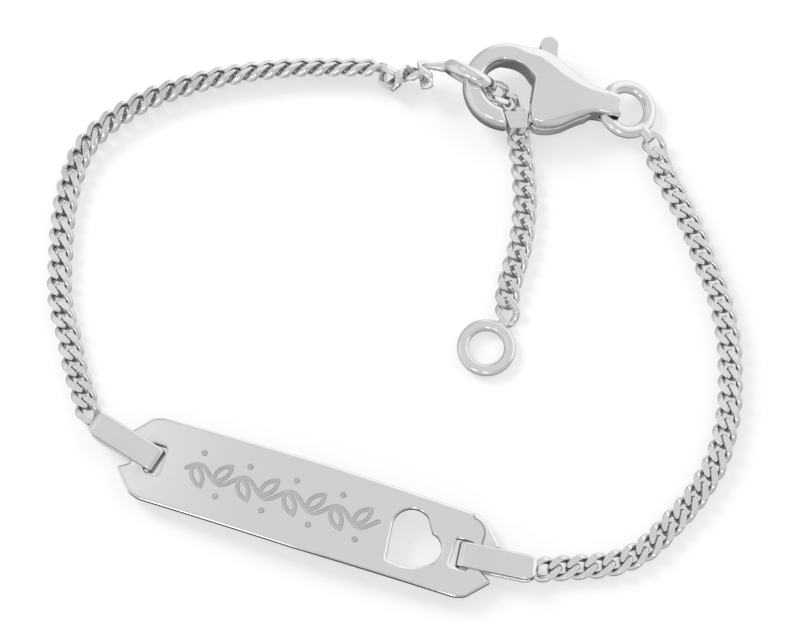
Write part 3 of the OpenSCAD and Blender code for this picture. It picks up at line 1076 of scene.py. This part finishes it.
@dataclass
class LobsterClasp:
    """Hook and body of the clasp, its lever and its pin."""

    hook_radius: float = 3.12  # Outside radius of the hook
    hook_bar: float = 1.4  # Width of the hook's bar
    hook_thickness: float = 1.85
    hook_squash: float = 2.1  # How much higher than wide the bar's corners are rounded
    hook_corner: float = 0.36
    pivot: Pair = (4.1, -0.6)
    joint_radius: float = 4.35  # Distance from the pin to the end of the hook's tip
    slot: float = 1.4  # Height of the lever's slot
    tail_hole: float = 0.68
    tail_at: Triple = (7.12, 0.0, -0.1)
    clearance: float = 0.04  # Gap between the tip and the lever
    bar: Pair = (60.0, 140.0)  # Where the hook's bar starts and how far it runs, in degrees
    tip: Pair = (190.0, 100.0)  # The same for its tip
    parting: Pair = (0.14, 0.34)  # Low and high edge of the parting line's groove
    # Points that the groove follows, from the gate to the tail
    parting_line: tuple[Pair, ...] = (
        (1.95, -2.36), (2.6, -2.58), (3.3, -2.48), (4.1, -2.18), (4.85, -1.64), (5.6, -1.15),
        (6.0, -1.0))
    parting_reach: Pair = (0.4, 0.17)  # How far the groove reaches outside and inside them
    parting_side: float = -0.8  # How far the line stays on the gate's side of the middle
    steps: int = 4  # Steps from section to section
    voxel: float = 0.045  # Size of the detail kept in the casting
    soft: int = 20  # How often the casting is smoothed before it is cut
    lever_voxel: float = 0.035
    passes: int = 3  # How often the lever and the cut casting are smoothed
    stands: Matrix = field(default_factory=lambda: move(3.05, 15.44, 2.0) @ turn(y=4.2, z=7.2))

    def sections(self) -> list[Section]:
        """Sections of the body, from inside the hook's bar to the tail."""
        rows = [
            (-1.3, 2.70, 2.40, 1.80, 1.62, 0.84, -0.84, 0.62),
            (-0.6, 2.94, 2.62, 1.86, 1.64, 0.88, -0.86, 0.64),
            (0.2, 3.03, 2.66, 1.62, 1.42, 0.94, -0.88, 0.68),
            (1.05, 3.06, 2.46, 1.22, 1.02, 1.00, -0.88, 0.74),
            (1.72, 3.06, 2.36, 0.90, 0.72, 1.06, -0.88, 0.76),
            (1.78, 3.06, 2.35, -1.50, -1.66, 1.07, -0.88, 0.78),
            (2.10, 3.00, 2.25, -2.28, -2.44, 1.10, -0.90, 0.80),
            (2.60, 2.86, 2.02, -2.40, -2.58, 1.12, -1.00, 0.80),
            (3.30, 2.48, 1.58, -2.13, -2.48, 1.14, -1.15, 0.80),
            (4.10, 2.02, 1.18, -1.70, -2.18, 1.15, -1.15, 0.80),
            (4.85, 1.62, 0.94, -1.30, -1.64, 1.15, -1.15, 0.80),
            (5.60, 1.27, 0.78, -1.00, -1.15, 1.12, -1.10, 0.80),
            (6.40, 1.00, 0.70, -0.74, -0.84, 1.08, -1.05, 0.85),
            (7.40, 0.84, 0.68, -0.74, -0.82, 1.02, -1.00, 0.88),
            (8.05, 0.72, 0.56, -0.62, -0.74, 0.98, -0.96, 0.86)]
        return [Section(*row) for row in rows]

    @staticmethod
    def between(values: Sequence[float], spans: Sequence[float], h: float) -> float:
        """Smooth value between two others that never passes either.

        Args:
            values: Values at four stations. The place is between the two in the middle.
            spans: Lengths of the three spans between the stations.
            h: Place between the two in the middle, from 0 to 1.

        Returns:
            The value there.
        """
        rates = [(b - a) / span for a, b, span in zip(values, values[1:], spans)]
        start, end = [2 * x * y / (x + y) if x * y > 0 else 0.0
                      for x, y in zip(rates, rates[1:])]
        return eased(values[1], values[2], start * spans[1], end * spans[1], h)

    def smooth_sections(self) -> list[Section]:
        """Puts steps between the sections.

        Returns:
            The sections and the steps, in order.
        """
        rows = [astuple(section) for section in self.sections()]
        made = []
        for i, (a, b) in enumerate(zip(rows, rows[1:])):
            before, after = rows[max(i - 1, 0)], rows[min(i + 2, len(rows) - 1)]
            spans = [max(a[0] - before[0], 0.2), b[0] - a[0], max(after[0] - b[0], 0.2)]
            columns = list(zip(before, a, b, after))[1:]
            for k in range(self.steps):
                h = k / self.steps
                made.append(Section(a[0] + h * spans[1], *[
                    self.between(column, spans, h) for column in columns]))
        return made + [Section(*rows[-1])]

    def skin(self) -> Work:
        """Bridges the sections.

        Returns:
            The body without its holes.
        """
        made = Work()
        rings = [made.loop(section.corners())[1] for section in self.smooth_sections()]
        for one, other in zip(rings, rings[1:]):
            bmesh.ops.bridge_loops(made.bm, edges=one + other)
        return made.closed()

    def hook(self, start: float, sweep: float) -> Work:
        """Part of the hook's bar.

        Args:
            start: Where it starts, in degrees round the hook.
            sweep: How far it runs, in degrees.

        Returns:
            The bar, solid.
        """
        made = Work()
        bmesh.ops.create_grid(made.bm, x_segments=1, y_segments=1, size=0.5)
        made.stretched(self.hook_bar, self.hook_thickness / self.hook_squash, 1)
        made.bevel(list(made.bm.verts), "VERTICES", self.hook_corner, 6)
        made.stretched(1, self.hook_squash, 1)
        made.moved(turn(z=start) @ move(self.hook_radius - self.hook_bar / 2, 0, 0)
                   @ turn(x=90))
        bmesh.ops.spin(made.bm, geom=list(made.bm.faces), cent=(0, 0, 0), axis=(0, 0, 1),
                       angle=math.radians(sweep), steps=max(8, round(sweep / 3)))
        inner = [f for f in made.bm.faces if all(len(e.link_faces) > 2 for e in f.edges)]
        bmesh.ops.delete(made.bm, geom=inner, context="FACES_ONLY")
        return made.outward()

    @staticmethod
    def rod(at: Matrix, radius: float) -> Work:
        """Round cutter, longer than the clasp is high."""
        made = Work()
        bmesh.ops.create_cone(made.bm, cap_ends=True, segments=64, radius1=radius,
                              radius2=radius, depth=4)
        return made.moved(at)

    @staticmethod
    def prism(outline: Iterable[Pair], low: float, high: float) -> Work:
        """Cutter with upright sides.

        Args:
            outline: Its corners.
            low: Height of its underside.
            high: Height of its top.

        Returns:
            The cutter.
        """
        made = Work()
        face = made.bm.faces.new([made.bm.verts.new((x, y, low)) for x, y in outline])
        made.raised([face], high - low)
        return made

    def lever_slot(self) -> Work:
        """Slot that the lever lies in."""
        outline = [(1.5, -3.4), (1.5, -0.7), (2.9, -0.1), (1.45, 3.6), (5.0, 3.6), (5.0, -1.2),
                   (4.4, -1.5), (4.05, -1.42), (3.15, -2.02), (1.95, -2.48), (1.9, -3.4)]
        return self.prism(outline, -self.slot / 2, self.slot / 2)

    def groove(self) -> Work:
        """Parting line along the side of the body."""
        outside, inside = self.parting_reach
        return self.prism([(x, y - outside) for x, y in self.parting_line]
                          + [(x, y + inside) for x, y in reversed(self.parting_line)],
                          *self.parting)

    def body(self) -> None:
        """Casts the hook and the body in one, then cuts the slot and the tail hole."""
        inside = self.hook_radius - self.hook_bar
        joint = self.rod(move(*self.pivot, 0), self.joint_radius + self.clearance)
        made = self.skin().cut_by(self.rod(move(0, 0, 0), inside))
        made.add(self.hook(*self.bar)).add(self.hook(*self.tip).cut_by(joint))
        made = made.fused(self.voxel, self.soft)
        tail = self.rod(move(*self.tail_at) @ turn(x=90, z=18), self.tail_hole)
        for cutter in (self.lever_slot(), self.groove(), tail):
            made = made.cut_by(cutter)
        made = made.fused(self.voxel, self.passes)
        low, high = self.parting
        gate, end = self.parting_line[0][0], self.parting_line[-1][0]
        # The hook's inner wall and the parting groove get the darker silver: painted shade
        for face in made.bm.faces:
            spot = face.calc_center_median()
            inner = spot.xy.length < inside + 0.15 and abs(face.normal.z) < 0.75
            parted = (low + 0.02 < spot.z < high - 0.02 and gate < spot.x < end
                      and spot.y < self.parting_side)
            face.material_index = 1 if inner or parted else 0
        made.moved(self.stands)
        made.finish("clasp_cast_body", ["clasp_body"], [Silver.CAST, Silver.RECESS])

    def build(self) -> None:
        """Makes the casting, the lever and the hidden pin, which keeps its shape."""
        self.body()
        lever = Work.of_node("clasp_lever").fused(self.lever_voxel, self.passes)
        lever.finish("clasp_gate_lever", ["clasp_lever"], [Silver.CAST], body=LEVER_BODY)
        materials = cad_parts["clasp_pin"].data.materials
        materials.clear()
        materials.append(Silver.CAST.value.material())


# Studio


@dataclass
class Studio:
    """Camera, light tent and table, with places in metres."""

    camera_at: Triple = (0.01460, -0.04634, 0.15065)
    camera_looks: Triple = (-0.0876, 0.2789, -0.9563)
    lens: float = 103.5
    floor: float = 1.2  # Half the width of the floor
    paper: float = 0.36  # Grey of the floor
    glow: float = 0.56  # Its own light, which keeps it pale
    shine: float = 1.08  # Strength of the tent

    def camera(self) -> None:
        """Sets the camera at the photograph's place."""
        data = bpy.data.cameras.new("camera")
        data.lens = self.lens
        data.sensor_width = 36.0
        data.sensor_fit = "HORIZONTAL"
        data.clip_start = 0.005
        data.clip_end = 5.0
        made = placed("camera", data)
        made.location = self.camera_at
        aimed(made, Vector(self.camera_looks))
        bpy.context.scene.camera = made

    def table(self) -> None:
        """Lays the pale plain floor."""
        paper = bpy.data.materials.new("white_paper")
        paper.use_nodes = True
        graph = Graph(paper.node_tree)
        shader = graph.node(
            "ShaderNodeBsdfPrincipled", {},
            {"Base Color": (self.paper, self.paper, self.paper, 1.0), "Roughness": 0.9,
             "Specular IOR Level": 0.0, "Emission Color": (1.0, 1.0, 1.0, 1.0),
             "Emission Strength": self.glow})
        graph.node("ShaderNodeOutputMaterial", {}, {"Surface": shader.outputs[0]})
        sheet = Work()
        bmesh.ops.create_grid(sheet.bm, x_segments=4, y_segments=4, size=self.floor)
        floor = placed("table_top", sheet.to_mesh("table_top"))
        floor.data.materials.append(paper)
        floor.location.z = -0.00002
        floor.visible_glossy = False

    def tent(self) -> None:
        """Hangs the light tent: grey, white behind on the right, two bright spots in front."""
        world = bpy.data.worlds.new("tent")
        bpy.context.scene.world = world
        world.use_nodes = True
        graph = Graph(world.node_tree)
        where = graph.node("ShaderNodeTexCoord").outputs["Generated"]
        apart = graph.node("ShaderNodeSeparateXYZ", {}, {0: where})
        height = Value(graph, apart.outputs["Z"]) * 0.5 + 0.5

        def wall(stops: Sequence[Pair]) -> Value:
            """Grey of one side of the tent.

            Args:
                stops: Greys at degrees above the horizon, from -90 to 90.

            Returns:
                The grey.
            """
            places = [((math.sin(math.radians(rise)) + 1) / 2, grey) for rise, grey in stops]
            ramp = graph.node("ShaderNodeValToRGB", {"stops": places}, {"Fac": height})
            return Value(graph, ramp.outputs["Color"])

        def towards(heading: float, rise: float) -> Value:
            """How near a direction is to the one at a heading and a rise, from -1 to 1."""
            aim = turn(y=-rise, z=heading) @ Vector((1.0, 0.0, 0.0))
            made = graph.node("ShaderNodeVectorMath", {"operation": "DOT_PRODUCT"},
                              {0: where, 1: tuple(aim)})
            return Value(graph, made.outputs["Value"])

        def within(value: Value, low: float, high: float) -> Value:
            """Turns a value into 0 below one level and 1 above the other, smooth between."""
            made = graph.node(
                "ShaderNodeMapRange", {"interpolation_type": "SMOOTHSTEP"},
                {"Value": value, "From Min": low, "From Max": high})
            return Value(graph, made.outputs["Result"])

        front = wall([(-90, 0.09), (-68, 0.16), (-45, 0.5), (28, 0.64), (34, 0.4),
                      (40, 0.4), (46, 0.64), (64, 0.68), (90, 0.69)])
        behind = wall([(-90, 0.09), (-68, 0.16), (-50, 0.7), (-10, 0.95), (15, 1.0), (51, 1.0),
                       (64, 0.78), (75, 0.69), (90, 0.69)])
        back = within(towards(60.0, 0.0), 0.42, 0.62)
        level = front * (1.0 - back) + behind * back
        level = level + 0.14 * within(towards(165.0, 45.0), 0.85, 0.95)
        level = level + 0.2 * within(towards(-150.0, 0.0), 0.6, 0.9)
        edge = math.cos(math.radians(8.0))
        for heading in (-105.0, -75.0):
            spot = within(towards(heading, 30.0), edge, edge + 0.25 * (1 - edge))
            level = level + spot * 2.5
        sky = graph.node("ShaderNodeBackground", {}, {"Color": level, "Strength": self.shine})
        graph.node("ShaderNodeOutputWorld", {}, {"Surface": sky.outputs[0]})

    @staticmethod
    def lamp(name: str, at: Triple, size: float, watts: float) -> None:
        """Hangs a soft lamp that looks at the bracelet.

        Args:
            name: Name of the lamp.
            at: Its place, in metres.
            size: Its width, in metres.
            watts: Its power.
        """
        data = bpy.data.lights.new(name, "AREA")
        data.shape = "DISK"
        data.size = size
        data.energy = watts
        made = placed(name, data)
        made.location = at
        aimed(made, -Vector(at))
        made.visible_glossy = False

    def build(self) -> None:
        """Sets up the camera, the table and the lights."""
        self.camera()
        self.table()
        self.tent()
        self.lamp("key_lamp", (-0.36, 0.16, 0.30), 0.2, 1.7)
        self.lamp("fill_lamp", (0.25, 0.30, 0.40), 0.35, 0.4)
        view = bpy.context.scene.view_settings
        view.view_transform = "Standard"
        view.look = "None"


def main() -> None:
    """Builds the bracelet and its studio, piece by piece."""
    logging.basicConfig(level=logging.INFO, format="%(message)s")
    Studio().build()
    NamePlate().build()
    Bail("bail_left", move(-11.31, -17.05, 0) @ turn(z=165.4), LEFT_ROUTE.place(0)).build()
    Bail("bail_right", move(9.15, -16.97, 0) @ turn(z=5.5),
         RIGHT_ROUTE.place(RIGHT_ROUTE.count)).build()
    CurbChain("chain_left", LEFT_ROUTE, LEFT_ROUTE.count, LEFT_TANGLE).build()
    CurbChain("chain_right", RIGHT_ROUTE, RIGHT_ROUTE.count - 1).build()
    CurbChain("extension_chain", TAIL_ROUTE, TAIL_ROUTE.count - 1, {}, TAIL_LINK).build()
    Rings().build()
    LobsterClasp().build()


if __name__ == "__main__":
    main()
